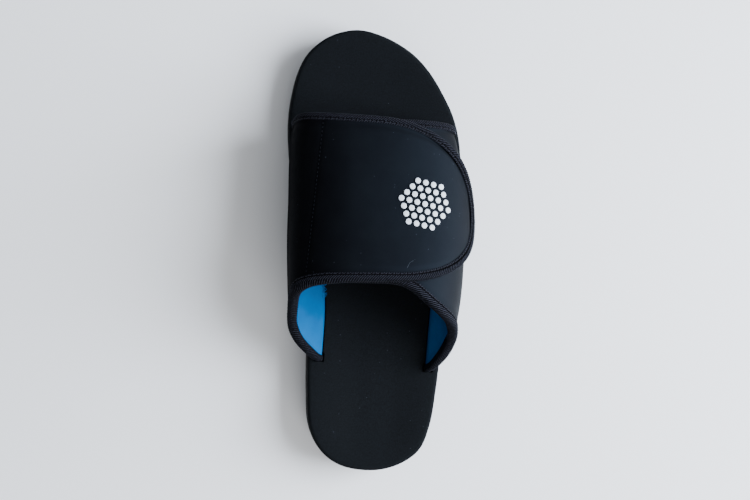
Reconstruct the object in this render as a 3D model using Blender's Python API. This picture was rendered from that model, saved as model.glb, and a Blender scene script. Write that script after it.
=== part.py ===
"""A sport slide sandal, the right shoe: a layered foam sole with a contoured footbed, and an upper of two
padded straps that come up through slots in the footbed and close over the instep with hook and loop.

Metres, +Z up. The toe points to -Y, the medial (inner) side is +X, and the origin is on the floor under
the middle of the heel. Places along the shoe are shares of LENGTH from the back of the heel, and places
across it are shares of BALL_WIDTH from the middle line."""

import math

import bpy
from mathutils import Vector

# Driving sizes of the sole
LENGTH = 0.285
BALL_WIDTH = 0.112
HEEL_REACH = 0.047  # from the origin to the back of the heel
HEEL_HEIGHT = 0.029  # top of the footbed over the floor, at the heel
BALL_HEIGHT = 0.022  # and at the ball
TOE_SPRING = 0.009  # lift of the sole's underside at the toe tip
TOE_TOP_RISE = 0.0065  # rise of the footbed there
HEEL_ROLL = 0.002  # lift of the underside at the back of the heel
ARCH_LIFT = 0.0014  # lift of the underside between heel and ball
OUTSOLE_THICK = 0.0045
FOOTBED_THICK = 0.0055
FOOTBED_EDGE = 0.0024  # radius of the footbed's upper edge
FOOTBED_SETBACK = 0.0006  # the footbed's side stands this far inside the midsole's
OUTSOLE_SETBACK = 0.0009
OUTSOLE_BEVEL = 0.0011
MIDSOLE_CROWN = 0.0007  # how far the middle of the midsole's side swells out
DISH_HEEL = 0.0021  # depth of the footbed's hollow under the heel
DISH_BALL = 0.0009  # and under the ball

# Driving sizes of the tread
TREAD_PITCH = 0.0118
TREAD_GROOVE = 0.0030
TREAD_DEPTH = 0.0022
TREAD_WAVE = 0.0024  # half the height of the grooves' zigzag
TREAD_WAVE_PITCH = 0.0160

# Driving sizes of the upper
STRAP_WALL = 0.0030
STRAP_RISE_FRONT = 0.0425  # middle of the strap over the footbed, at its front edge
STRAP_RISE_REAR = 0.0580  # and at its rear edge
STRAP_UPRIGHT = 0.0012  # the straps leave the slots upright up to here over the footbed's edge
FLARE = 1.3  # how steeply they then lean out: 0 starts upright, and 3 is the most
FASTENER_THICK = 0.0023  # the hook and loop tapes between flap and band
FASTENER_BITE = 0.0005  # how deep they sink into each of the two
FASTENER_INSET = 0.0090  # from the edges of the straps to the tapes
FLAP_END_LIFT = 0.0012  # how far the flap's loose end stands off
BINDING_WIDTH = 0.0040
BINDING_THICK = 0.0006
BINDING_GAP = 0.0004  # from the strap's faces to the binding's
BINDING_NOSE = 0.0012  # how far the binding reaches past the strap's edge
GAP = 0.0003  # between pieces that touch on the real shoe

# The sole's outline: along, then the medial and the lateral half width
SOLE_OUTLINE = (
    (0.012, 0.203, 0.130),
    (0.045, 0.318, 0.254),
    (0.100, 0.386, 0.316),
    (0.180, 0.399, 0.353),
    (0.290, 0.398, 0.388),
    (0.400, 0.411, 0.424),
    (0.520, 0.440, 0.463),
    (0.630, 0.475, 0.494),
    (0.730, 0.500, 0.503),
    (0.800, 0.501, 0.468),
    (0.860, 0.478, 0.397),
    (0.910, 0.441, 0.315),
    (0.950, 0.383, 0.214),
    (0.985, 0.266, 0.057),
)
HEEL_TIP_SHARES = (0.0, 0.017)
TOE_TIP_SHARES = (1.0, 0.106)

# The straps' sections: along, then how far the medial and the lateral side swell out, the heights of their
# widest places and of the crown as shares of the straps' rise, and how far the crown sits to the medial side
STRAP_SECTIONS = (
    (0.220, 0.370, 0.355, 0.36, 0.33, 1.00, 0.120),
    (0.265, 0.430, 0.396, 0.36, 0.33, 1.00, 0.120),
    (0.302, 0.470, 0.416, 0.36, 0.33, 1.00, 0.120),
    (0.340, 0.486, 0.433, 0.36, 0.33, 1.00, 0.120),
    (0.390, 0.494, 0.456, 0.35, 0.33, 1.00, 0.120),
    (0.450, 0.497, 0.471, 0.35, 0.33, 1.00, 0.120),
    (0.520, 0.496, 0.480, 0.36, 0.34, 1.00, 0.118),
    (0.600, 0.489, 0.476, 0.38, 0.36, 1.01, 0.112),
    (0.700, 0.483, 0.458, 0.40, 0.38, 1.01, 0.108),
    (0.760, 0.470, 0.430, 0.42, 0.40, 1.01, 0.105),
    (0.810, 0.445, 0.405, 0.43, 0.42, 1.00, 0.100),
)

# The slots in the footbed: along, then how far inside the medial and the lateral edge of the sole they lie
SLOT_INSETS = (
    (0.220, 0.062, 0.068),
    (0.300, 0.082, 0.077),
    (0.390, 0.103, 0.084),
    (0.580, 0.118, 0.097),
    (0.700, 0.118, 0.080),
    (0.800, 0.114, 0.047),
)

# Places around the foot run from 0 at the medial slot, over the crown at 0.5, to 1 at the lateral slot
SLOT_END_SHARE = 0.04  # the strap leaves the footbed here
WIDEST_SHARE = 0.17  # and is widest here
CROWN_SHARE = 0.5
WALL_ROWS = 9  # faces from a strap's front edge to its rear edge
MEDIAL_SQUARE_POWER = 2.35  # 2 is an ellipse, and more is squarer
LATERAL_SQUARE_POWER = 2.1

# Each strap's edges: around, then its front and its rear edge as places along the shoe
FLAP_EDGES = (
    (0.04, 0.778, 0.2545),
    (0.07, 0.779, 0.262),
    (0.12, 0.781, 0.292),
    (0.17, 0.783, 0.338),
    (0.25, 0.787, 0.396),
    (0.35, 0.789, 0.428),
    (0.50, 0.783, 0.435),
    (0.60, 0.775, 0.432),
    (0.80, 0.766, 0.430),
)
BAND_EDGES = (
    (0.96, 0.768, 0.229),
    (0.93, 0.768, 0.238),
    (0.88, 0.768, 0.264),
    (0.83, 0.768, 0.299),
    (0.75, 0.774, 0.340),
    (0.70, 0.777, 0.361),
    (0.66, 0.778, 0.381),
    (0.63, 0.779, 0.400),
    (0.605, 0.779, 0.418),
    (0.58, 0.779, 0.430),
    (0.54, 0.779, 0.436),
    (0.30, 0.779, 0.438),
)


class Strap:
    """One strap's pattern: where it starts, where its end begins to turn, its tip, and its edges."""

    def __init__(self, edges, root, turn, tip, tip_along, front_round, rear_round):
        self.edges = edges
        self.root = root
        self.turn = turn
        self.tip = tip
        self.tip_along = tip_along
        self.rounds = (front_round, rear_round)

    def edge(self, around, which):
        """Where the front (0) or the rear (1) edge lies at this place around the foot."""
        clear = min(max(around, SLOT_END_SHARE), 1 - SLOT_END_SHARE)
        plain = through(sorted(self.edges), clear, 1 + which)
        past = (around - self.turn) / (self.tip - self.turn)
        if past <= 0.0:
            return plain
        n = self.rounds[which]
        return self.tip_along + (plain - self.tip_along) * (1 - min(past, 1.0) ** n) ** (1 / n)

    def columns(self, straight, end):
        """Places around the foot from the strap's root to its tip, closer together in its rounded end."""
        leaves = abs(self.root - SLOT_END_SHARE)
        found = [self.root] + [leaves + (self.turn - leaves) * i / straight for i in range(straight)]
        for i in range(end + 1):
            turned = math.sin(0.5 * math.pi * i / end)
            found.append(self.turn + (self.tip - self.turn) * turned)
        return found


def smooth(share):
    share = min(max(share, 0.0), 1.0)
    return share * share * (3 - 2 * share)


def ramp(value, start, end):
    return smooth((value - start) / (end - start))


def through(rows, at, column):
    """The value of a column on a smooth curve through a table's rows, whose first column rises."""
    at = min(max(at, rows[0][0]), rows[-1][0])
    last = len(rows) - 2
    i = next((k for k in range(last + 1) if at <= rows[k + 1][0]), last)

    def slope(k):
        low, high = max(k - 1, 0), min(k + 1, last + 1)
        return (rows[high][column] - rows[low][column]) / (rows[high][0] - rows[low][0])

    step = rows[i + 1][0] - rows[i][0]
    t = (at - rows[i][0]) / step
    start, end = rows[i][column], rows[i + 1][column]
    return (
        start * (1 + 2 * t) * (1 - t) ** 2
        + end * t * t * (3 - 2 * t)
        + step * (slope(i) * t * (1 - t) ** 2 - slope(i + 1) * t * t * (1 - t))
    )


def place_along(along):
    return HEEL_REACH - along * LENGTH


def share_along(y):
    return (HEEL_REACH - y) / LENGTH


# Heights of the sole's layers


def ground(along):
    """The sole's underside over the floor."""
    heel = HEEL_ROLL * max(0.0, 1 - along / 0.07) ** 2
    toe = TOE_SPRING * max(0.0, (along - 0.77) / 0.23) ** 2
    arch = ARCH_LIFT * ramp(along, 0.33, 0.43) * (1 - ramp(along, 0.47, 0.57))
    return heel + toe + arch


def footbed_level(along):
    """The footbed's top along its edge."""
    fall = ramp(along, 0.28, 0.64)
    toe = TOE_TOP_RISE * max(0.0, (along - 0.77) / 0.23) ** 2
    return HEEL_HEIGHT + (BALL_HEIGHT - HEEL_HEIGHT) * fall + toe


def half_width(side, along):
    """From the middle line to the sole's edge, on the medial (1) or the lateral (-1) side."""
    return BALL_WIDTH * through(SOLE_OUTLINE, along, 1 if side > 0 else 2)


def footbed_top(x, y):
    """The footbed's top, with its shallow hollow."""
    along = share_along(y)
    reach = abs(x) / half_width(1 if x > 0 else -1, along)
    ends = ramp(along, 0.0, 0.10) * (1 - ramp(along, 0.86, 0.99))
    depth = DISH_HEEL + (DISH_BALL - DISH_HEEL) * ramp(along, 0.25, 0.60)
    return footbed_level(along) - depth * ends * (1 - ramp(reach, 0.20, 0.92))


# The sole's outline


def outline_curve(points, share):
    """A closed curve through points, with each stretch's pace set by the root of its length."""
    count = len(points)
    i = int(share) % count
    p = [Vector(points[(i + k) % count]) for k in (-1, 0, 1, 2)]
    knots = [0.0]
    for a, b in zip(p, p[1:]):
        knots.append(knots[-1] + (b - a).length ** 0.5)
    t = knots[1] + (share - int(share)) * (knots[2] - knots[1])

    def mix(a, b, low, high):
        return (a * (high - t) + b * (t - low)) / (high - low)

    first = [mix(p[k], p[k + 1], knots[k], knots[k + 1]) for k in range(3)]
    second = [mix(first[k], first[k + 1], knots[k], knots[k + 2]) for k in range(2)]
    return mix(second[0], second[1], knots[1], knots[2])


def sole_outline(half_count):
    """Points round the sole, evenly spaced: the heel tip, up the medial side, the toe tip, and back."""

    def place(along, across):
        return (across * BALL_WIDTH, place_along(along))

    medial = [place(along, width) for along, width, _ in SOLE_OUTLINE]
    lateral = [place(along, -width) for along, _, width in reversed(SOLE_OUTLINE)]
    corners = [place(*HEEL_TIP_SHARES), *medial, place(*TOE_TIP_SHARES), *lateral]
    toe = len(medial) + 1
    found = []
    for start, end in ((0, toe), (toe, len(corners))):
        steps = 20 * (end - start)
        walk = [outline_curve(corners, start + (end - start) * k / steps) for k in range(steps)]
        walk.append(Vector(corners[end % len(corners)]))
        travelled = [0.0]
        for a, b in zip(walk, walk[1:]):
            travelled.append(travelled[-1] + (b - a).length)
        k = 0
        for j in range(half_count):
            target = travelled[-1] * j / half_count
            while travelled[k + 1] < target:
                k += 1
            t = (target - travelled[k]) / (travelled[k + 1] - travelled[k])
            found.append(walk[k].lerp(walk[k + 1], t))
    return found


def inset(outline, distance):
    """The outline moved inwards by a distance."""
    count = len(outline)
    found = []
    for i, point in enumerate(outline):
        ahead = outline[(i + 1) % count] - outline[i - 1]
        inward = Vector((ahead.y, -ahead.x)).normalized()
        found.append(point + inward * distance)
    return found


# Making objects


def material(name, colour, roughness):
    made = bpy.data.materials.new(name)
    made.use_nodes = True
    shader = made.node_tree.nodes["Principled BSDF"]
    shader.inputs["Base Color"].default_value = (*colour, 1.0)
    shader.inputs["Roughness"].default_value = roughness
    shader.inputs["Metallic"].default_value = 0.0
    return made


def solid(name, points, faces, finish=None):
    mesh = bpy.data.meshes.new(name)
    mesh.from_pydata([tuple(p) for p in points], [], faces)
    mesh.validate()
    made = bpy.data.objects.new(name, mesh)
    bpy.context.scene.collection.objects.link(made)
    if finish:
        mesh.materials.append(finish)
        mesh.shade_smooth()
        mesh.set_sharp_from_angle(angle=math.radians(38))
    return made


def helper(made):
    """Marks a cutter, or a shape that is joined into another, as no piece of the shoe."""
    made.hide_render = True
    made.display_type = "WIRE"
    return made


def combine(target, other, operation):
    modifier = target.modifiers.new(f"{operation.lower()}_{other.name}", "BOOLEAN")
    modifier.operation = operation
    modifier.object = other
    modifier.solver = "EXACT"


def layer(name, rings, bottom, top, columns, finish):
    """A layer of the sole. rings run up its side as (outline, height of a point); bottom and top give the
    heights of its faces, which are laid in rows from one side of the foot to the other."""
    count = len(rings[0][0])
    half = count // 2
    points = [(p.x, p.y, height(p.x, p.y)) for outline, height in rings for p in outline]
    faces = []
    for r in range(len(rings) - 1):
        for i in range(count):
            j = (i + 1) % count
            low, high = r * count, (r + 1) * count
            faces.append((low + i, high + i, high + j, low + j))

    def cover(ring, height, across, upwards):
        outline = rings[ring][0]
        start = ring % len(rings) * count
        rows = []
        for i in range(1, half):
            a, b = outline[i], outline[count - i]
            row = [start + i]
            for c in range(1, across):
                p = a.lerp(b, c / across)
                row.append(len(points))
                points.append((p.x, p.y, height(p.x, p.y)))
            row.append(start + count - i)
            rows.append(row)
        found = []
        for first, second in zip(rows, rows[1:]):
            for c in range(across):
                found.append((first[c], second[c], second[c + 1], first[c + 1]))
        for c in range(across):
            found.append((start, rows[0][c], rows[0][c + 1]))
            found.append((start + half, rows[-1][c + 1], rows[-1][c]))
        faces.extend([face[::-1] for face in found] if upwards else found)

    cover(-1 % len(rings), top, columns[1], True)
    cover(0, bottom, columns[0], False)
    return solid(name, points, faces, finish)


def prism(outline, low, high):
    """Points and faces of an upright block with this outline, between two heights."""
    count = len(outline)
    points = [(x, y, low) for x, y in outline] + [(x, y, high) for x, y in outline]
    faces = [tuple(range(count))[::-1], tuple(range(count, 2 * count))]
    for i in range(count):
        j = (i + 1) % count
        faces.append((i, j, count + j, count + i))
    return points, faces


# The upper's form


def slot_place(side, along):
    """The middle of a slot, from the shoe's middle line."""
    column = 1 if side > 0 else 2
    return side * (half_width(side, along) - BALL_WIDTH * through(SLOT_INSETS, along, column))


def last_point(around, along):
    """A point of the straps' middle surface where it lies on the foot."""
    side = 1 if around < CROWN_SHARE else -1
    share = around if side > 0 else 1 - around
    section = [through(STRAP_SECTIONS, along, k) for k in range(1, 7)]
    rise = STRAP_RISE_REAR + (STRAP_RISE_FRONT - STRAP_RISE_REAR) * (along - 0.43) / (0.79 - 0.43)
    level = footbed_level(along)
    slot = slot_place(side, along)
    widest = side * BALL_WIDTH * section[0 if side > 0 else 1]
    widest_height = level + rise * section[2 if side > 0 else 3]
    if share <= SLOT_END_SHARE:
        x = slot
        foot = level - FOOTBED_THICK + GAP
        z = foot + (level + STRAP_UPRIGHT - foot) * share / SLOT_END_SHARE
    elif share <= WIDEST_SHARE:
        t = (share - SLOT_END_SHARE) / (WIDEST_SHARE - SLOT_END_SHARE)
        start = level + STRAP_UPRIGHT
        climb = widest_height - start
        lean = t * t * (3 - 2 * t) + FLARE * t * (1 - t) ** 2
        x = slot + (widest - slot) * lean
        z = start + climb * (3 * (1 - t) ** 2 * t * 0.48 + 3 * (1 - t) * t * t * 0.62 + t**3)
    else:
        turned = 0.5 * math.pi * (share - WIDEST_SHARE) / (CROWN_SHARE - WIDEST_SHARE)
        power = 2 / (MEDIAL_SQUARE_POWER if side > 0 else LATERAL_SQUARE_POWER)
        crown = BALL_WIDTH * section[5]
        x = crown + (widest - crown) * max(math.cos(turned), 0.0) ** power
        z = widest_height + (level + rise * section[4] - widest_height) * math.sin(turned) ** power
    return Vector((x, place_along(along), z))


def facing(surface, around, along):
    """The outward normal of a surface over the foot."""
    across, ahead = paces(surface, around, along)
    return across.cross(ahead).normalized()


def paces(surface, around, along):
    """How far a surface's point moves as each of its two places grows."""
    step = 0.0005
    across = surface(around + step, along) - surface(around - step, along)
    ahead = surface(around, along + step) - surface(around, along - step)
    return across / (2 * step), ahead / (2 * step)


def place_off(surface, place, direction, distance):
    """The place on a surface that lies a distance away from another in a direction."""
    across, ahead = paces(surface, *place)
    square = across.dot(across) * ahead.dot(ahead) - across.dot(ahead) ** 2
    a, b = direction.dot(across), direction.dot(ahead)
    return (
        place[0] + distance * (a * ahead.dot(ahead) - b * across.dot(ahead)) / square,
        place[1] + distance * (b * across.dot(across) - a * across.dot(ahead)) / square,
    )


def flap_point(around, along):
    """The same for the flap, which climbs onto the band before the band's end."""
    lift = (STRAP_WALL + FASTENER_THICK) * ramp(around, 0.20, 0.345)
    lift += FLAP_END_LIFT * ramp(around, FLAP.turn, FLAP.tip)
    return last_point(around, along) + facing(last_point, around, along) * lift


def fastener_point(around, along):
    """The middle of the hook and loop tapes."""
    lift = 0.5 * (STRAP_WALL + FASTENER_THICK)
    return last_point(around, along) + facing(last_point, around, along) * lift


FLAP = Strap(FLAP_EDGES, 0.0, 0.55, 0.788, 0.583, 1.86, 2.2)
BAND = Strap(BAND_EDGES, 1.0, 0.43, 0.385, 0.600, 3.2, 3.2)


def row_share(row):
    """How far from a strap's front edge to its rear edge a row lies. Rows are closer at the edges."""
    return 0.5 - 0.5 * math.cos(math.pi * row / WALL_ROWS)


def wall_of(surface, columns, edges, thick):
    """Points and faces of a wall on a surface. Its last column is one point when the edges meet there."""
    rows = WALL_ROWS
    points, faces = [], []
    closed_end = abs(edges(columns[-1], 0) - edges(columns[-1], 1)) < 1e-9
    sheets = []
    for offset in (0.5 * thick, -0.5 * thick):
        sheet = []
        for around in columns:
            front, rear = edges(around, 0), edges(around, 1)
            tip = closed_end and around == columns[-1]
            line = []
            for r in range(1 if tip else rows + 1):
                along = front + (rear - front) * row_share(r)
                line.append(len(points))
                points.append(surface(around, along) + facing(surface, around, along) * offset)
            sheet.append(line * (rows + 1) if tip else line)
        sheets.append(sheet)
    outer, inner = sheets
    turned = columns[-1] < columns[0]

    def add(*corners):
        kept = list(dict.fromkeys(corners))
        if len(kept) > 2:
            faces.append(tuple(kept[::-1] if turned else kept))

    last = len(columns) - 1
    for c in range(last):
        for r in range(rows):
            add(outer[c][r], outer[c][r + 1], outer[c + 1][r + 1], outer[c + 1][r])
            add(inner[c][r], inner[c + 1][r], inner[c + 1][r + 1], inner[c][r + 1])
        add(outer[c][0], outer[c + 1][0], inner[c + 1][0], inner[c][0])
        add(outer[c][rows], inner[c][rows], inner[c + 1][rows], outer[c + 1][rows])
    for r in range(rows):
        add(outer[0][r], inner[0][r], inner[0][r + 1], outer[0][r + 1])
        if not closed_end:
            add(outer[last][r], outer[last][r + 1], inner[last][r + 1], inner[last][r])
    return points, faces


def binding_section():
    """The binding's section: across the strap's edge, then away from its middle surface."""
    inner = 0.5 * STRAP_WALL + BINDING_GAP
    outer = inner + BINDING_THICK
    steps = 4
    nose = []
    for i in range(steps + 1):
        angle = math.pi * (i / steps - 0.5)
        nose.append((BINDING_NOSE * math.cos(angle), outer * math.sin(angle)))
    middle, back = -0.5 * BINDING_WIDTH, -BINDING_WIDTH
    upper = [(middle, outer), (back, outer), (back, inner), (middle, inner), (GAP, inner)]
    lower = [(across, -away) for across, away in reversed(upper)]
    return [*nose, *upper, *lower]


def binding_of(strap, surface, columns):
    """Points and faces of the tape folded over a strap's edge, from one end of its slot to the other."""
    route = [(around, strap.edge(around, 0)) for around in columns]
    route += [(around, strap.edge(around, 1)) for around in reversed(columns[:-1])]
    path = [surface(*place) for place in route]
    section = binding_section()
    points = []
    for i, place in enumerate(route):
        ahead = path[min(i + 1, len(path) - 1)] - path[max(i - 1, 0)]
        normal = facing(surface, *place)
        outward = normal.cross(ahead).normalized()
        if strap.root > strap.tip:
            outward.negate()
        for across, away in section:
            if across < 0.0:
                inside = place_off(surface, place, outward, across)
                points.append(surface(*inside) + facing(surface, *inside) * away)
            else:
                points.append(path[i] + outward * across + normal * away)
    around_count = len(section)
    faces = []
    for i in range(len(route) - 1):
        for k in range(around_count):
            m = (k + 1) % around_count
            low, high = i * around_count, (i + 1) * around_count
            faces.append((low + k, low + m, high + m, high + k))
    faces.append(tuple(range(around_count))[::-1])
    start = (len(route) - 1) * around_count
    faces.append(tuple(range(start, start + around_count)))
    if strap.root > strap.tip:
        faces = [face[::-1] for face in faces]
    return points, faces


def slot_cutter(name, strap, side):
    """The block that cuts one slot: as wide as the strap, and wider at its ends for the binding."""
    front = place_along(strap.edge(strap.root, 0)) - BINDING_NOSE - GAP
    rear = place_along(strap.edge(strap.root, 1)) + BINDING_NOSE + GAP
    pocket = BINDING_WIDTH + BINDING_NOSE + 2 * GAP
    narrow = 0.5 * STRAP_WALL + GAP
    wide = narrow + BINDING_GAP + BINDING_THICK
    inner_front, inner_rear = front + pocket, rear - pocket
    stations = [(front, wide), (inner_front, wide), (inner_front, narrow)]
    ends = [place_along(strap.edge(strap.root, which)) for which in (0, 1)]
    for row in range(1, WALL_ROWS):
        y = ends[0] + (ends[1] - ends[0]) * row_share(row)
        if inner_front + GAP < y < inner_rear - GAP:
            stations.append((y, narrow))
    stations += [(inner_rear, narrow), (inner_rear, wide), (rear, wide)]

    def wall(direction):
        found = []
        for y, half in stations:
            middle = Vector((slot_place(side, share_along(y)), y))
            ahead = Vector((slot_place(side, share_along(y + GAP)), y + GAP)) - middle
            found.append(middle + Vector((ahead.y, -ahead.x)).normalized() * direction * half)
        return found

    outline = wall(1) + wall(-1)[::-1]
    return helper(solid(name, *prism(outline, 0.0, 2 * HEEL_HEIGHT)))


def build_sole():
    outline = sole_outline(38)

    def under(lift):
        return lambda x, y: ground(share_along(y)) + lift

    def level(drop):
        return lambda x, y: footbed_level(share_along(y)) - drop

    side = inset(outline, OUTSOLE_SETBACK)
    outsole = layer(
        "outsole",
        [
            (inset(side, OUTSOLE_BEVEL), under(0.0)),
            (side, under(OUTSOLE_BEVEL)),
            (side, under(OUTSOLE_THICK)),
        ],
        under(0.0),
        under(OUTSOLE_THICK),
        (4, 2),
        material("moulded_rubber_black", (0.011, 0.011, 0.012), 0.62),
    )
    combine(outsole, tread_cutter(), "DIFFERENCE")

    def part_way(share):
        def height(x, y):
            low = ground(share_along(y)) + OUTSOLE_THICK + GAP
            high = footbed_level(share_along(y)) - FOOTBED_THICK - GAP
            return low + (high - low) * share

        return height

    layer(
        "midsole",
        [
            (inset(outline, MIDSOLE_CROWN), part_way(0.0)),
            (inset(outline, 0.25 * MIDSOLE_CROWN), part_way(0.25)),
            (outline, part_way(0.55)),
            (inset(outline, 0.6 * MIDSOLE_CROWN), part_way(1.0)),
        ],
        part_way(0.0),
        part_way(1.0),
        (2, 2),
        material("eva_foam_midsole_black", (0.013, 0.013, 0.014), 0.7),
    )

    edge = inset(outline, FOOTBED_SETBACK)
    rings = [(edge, level(FOOTBED_THICK)), (edge, level(FOOTBED_EDGE))]
    for turned in (35, 65, 90):
        angle = math.radians(turned)
        moved = inset(edge, FOOTBED_EDGE * (1 - math.cos(angle)))
        rings.append((moved, level(FOOTBED_EDGE * (1 - math.sin(angle)))))
    footbed = layer(
        "footbed",
        rings,
        level(FOOTBED_THICK),
        footbed_top,
        (2, 8),
        material("eva_foam_footbed_black", (0.014, 0.015, 0.017), 0.82),
    )
    combine(footbed, slot_cutter("medial_slot_cutter", FLAP, 1), "DIFFERENCE")
    combine(footbed, slot_cutter("lateral_slot_cutter", BAND, -1), "DIFFERENCE")


def tread_cutter():
    """Zigzag grooves across the heel and the forefoot, half a pitch away from the origin's lug."""
    points, faces = [], []
    reach = 0.62 * BALL_WIDTH
    turns = math.ceil(2 * reach / TREAD_WAVE_PITCH)
    for number in range(-40, 10):
        y = (number + 0.5) * TREAD_PITCH
        along = share_along(y)
        if not (0.045 < along < 0.345 or 0.555 < along < 0.955):
            continue
        zigzag = []
        for k in range(turns + 1):
            zigzag.append((-reach + 2 * reach * k / turns, y + TREAD_WAVE * (-1) ** k))
        near = [(x, place - 0.5 * TREAD_GROOVE) for x, place in zigzag]
        far = [(x, place + 0.5 * TREAD_GROOVE) for x, place in zigzag]
        found, sides = prism(near + far[::-1], -TREAD_DEPTH, ground(along) + TREAD_DEPTH)
        start = len(points)
        points += found
        faces += [tuple(start + k for k in face) for face in sides]
    return helper(solid("tread_cutter", points, faces))


def build_upper():
    fabric = material("laminated_knit_black", (0.010, 0.011, 0.013), 0.5)
    tape = material("rib_binding_black", (0.012, 0.012, 0.016), 0.75)
    columns = FLAP.columns(26, 9)
    upper = solid("upper", *wall_of(flap_point, columns, FLAP.edge, STRAP_WALL), fabric)
    band_columns = BAND.columns(28, 5)
    band = solid("band", *wall_of(last_point, band_columns, BAND.edge, STRAP_WALL))

    def tape_edge(around, which):
        inwards = FASTENER_INSET / LENGTH
        if which:
            return max(FLAP.edge(around, 1), BAND.edge(around, 1)) + inwards
        return min(FLAP.edge(around, 0), BAND.edge(around, 0)) - inwards

    tape_columns = [0.455 + (0.695 - 0.455) * i / 9 for i in range(10)]
    fastener_wall = wall_of(
        fastener_point, tape_columns, tape_edge, FASTENER_THICK + 2 * FASTENER_BITE
    )
    fastener = solid("fastener", *fastener_wall)
    combine(upper, helper(fastener), "UNION")
    combine(upper, helper(band), "UNION")
    solid("flap_binding", *binding_of(FLAP, flap_point, columns), tape)
    solid("band_binding", *binding_of(BAND, last_point, band_columns), tape)


def main():
    for old in list(bpy.data.objects):
        bpy.data.objects.remove(old, do_unlink=True)
    build_sole()
    build_upper()


main()
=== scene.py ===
"""A sport slide sandal for the right foot, seen from straight above with the toe at the top."""

import math

import bmesh
import bpy
from mathutils import Matrix, Vector, noise


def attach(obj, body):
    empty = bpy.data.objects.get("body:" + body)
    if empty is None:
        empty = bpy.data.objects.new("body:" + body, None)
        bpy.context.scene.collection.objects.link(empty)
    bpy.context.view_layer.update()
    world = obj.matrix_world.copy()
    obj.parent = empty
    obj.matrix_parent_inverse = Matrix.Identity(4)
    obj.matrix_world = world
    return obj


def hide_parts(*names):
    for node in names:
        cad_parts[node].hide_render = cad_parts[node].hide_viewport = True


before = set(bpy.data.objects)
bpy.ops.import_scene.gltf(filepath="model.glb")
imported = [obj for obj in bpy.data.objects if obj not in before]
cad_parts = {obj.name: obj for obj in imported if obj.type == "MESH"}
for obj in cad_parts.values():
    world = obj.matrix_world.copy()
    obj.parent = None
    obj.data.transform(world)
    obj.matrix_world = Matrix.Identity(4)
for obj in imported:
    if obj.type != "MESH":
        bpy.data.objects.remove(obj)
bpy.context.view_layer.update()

# ---------------------------------------------------------------- floor, light and camera
# A plain pale floor, and the soft light of a table-top studio: a broad bank on the outer side of the shoe
# and a dim surround. The camera hangs over the inner side of the shoe, where it stood between the pair.

CAMERA_HEIGHT = 0.950
CAMERA_PLACE = (0.0711, -0.0956)
CAMERA_LENS = 68.95
CAMERA_SENSOR = 36.0
AIM_HEIGHT = 0.022
FLOOR_SIZE = 6.0
# How strong the surround is on the outer and on the inner side of the shoe
SURROUND_LEVELS = (1.1, 0.24)
# Each bank of light: its place, what it points at, its two sides, its power in watts and its colour
OUTER_BANK = ((-1.10, -0.15, 0.70), (0.0, -0.09, 0.03), (0.9, 1.5), 78.0, "eaf2ff")
HEEL_BANK = ((-0.25, 0.95, 0.80), (0.0, -0.05, 0.03), (0.8, 0.5), 8.0, "ffffff")


def linear(colour):
    """The linear values of an sRGB colour written as six hex digits."""
    values = [int(colour[i : i + 2], 16) / 255 for i in (0, 2, 4)]
    return tuple(v / 12.92 if v <= 0.04045 else ((v + 0.055) / 1.055) ** 2.4 for v in values)


def add(tree, kind, inputs=None, **settings):
    """Adds a node to a tree. An input is given a value, or the output of another node."""
    made = tree.nodes.new(kind)
    for name, value in settings.items():
        setattr(made, name, value)
    for name, value in (inputs or {}).items():
        if isinstance(value, bpy.types.NodeSocket):
            tree.links.new(value, made.inputs[name])
        else:
            made.inputs[name].default_value = value
    return made


def fade(tree, value, span, levels):
    """Goes evenly from the first level to the second while a value crosses a span."""
    (start, end), (low, high) = span, levels
    inputs = {"Value": value, "From Min": start, "From Max": end, "To Min": low, "To Max": high}
    return add(tree, "ShaderNodeMapRange", inputs).outputs["Result"]


def surface(name, colour, roughness, gloss):
    """A new material, with its node tree and its shader. gloss is its index of refraction."""
    made = bpy.data.materials.new(name)
    made.use_nodes = True
    shader = made.node_tree.nodes["Principled BSDF"]
    shader.inputs["Base Color"].default_value = (*linear(colour), 1.0)
    shader.inputs["Roughness"].default_value = roughness
    shader.inputs["IOR"].default_value = gloss
    return made, made.node_tree, shader


def object_mode_only(made):
    """Leaves this one object selected and active."""
    bpy.ops.object.select_all(action="DESELECT")
    made.select_set(True)
    bpy.context.view_layer.objects.active = made


bpy.ops.object.select_all(action="DESELECT")
bpy.ops.mesh.primitive_plane_add(size=FLOOR_SIZE)
floor = bpy.context.object
floor.name = "floor"
# Matt pale paper, rolled out flat
paper, tree, shader = surface("pale_studio_paper", "f4f4f4", 0.9, 1.2)
floor.data.materials.append(paper)

world = bpy.data.worlds.new("studio_surround")
bpy.context.scene.world = world
world.use_nodes = True
sky = world.node_tree
background = sky.nodes["Background"]
direction = add(sky, "ShaderNodeTexCoord")
sideways = add(sky, "ShaderNodeSeparateXYZ", {"Vector": direction.outputs["Generated"]}).outputs["X"]
background.inputs["Color"].default_value = (*linear("eef3fa"), 1.0)
sky.links.new(fade(sky, sideways, (-1.0, 0.8), SURROUND_LEVELS), background.inputs["Strength"])


def area_light(name, place, target, size, power, colour):
    """A rectangular bank of light, turned to its target."""
    bpy.ops.object.light_add(type="AREA", location=place)
    made = bpy.context.object
    made.name = name
    made.data.shape = "RECTANGLE"
    made.data.size, made.data.size_y = size
    made.data.energy = power
    made.data.color = linear(colour)
    made.rotation_euler = (Vector(target) - Vector(place)).to_track_quat("-Z", "Y").to_euler()


area_light("outer_bank", *OUTER_BANK)
area_light("heel_bank", *HEEL_BANK)

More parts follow.
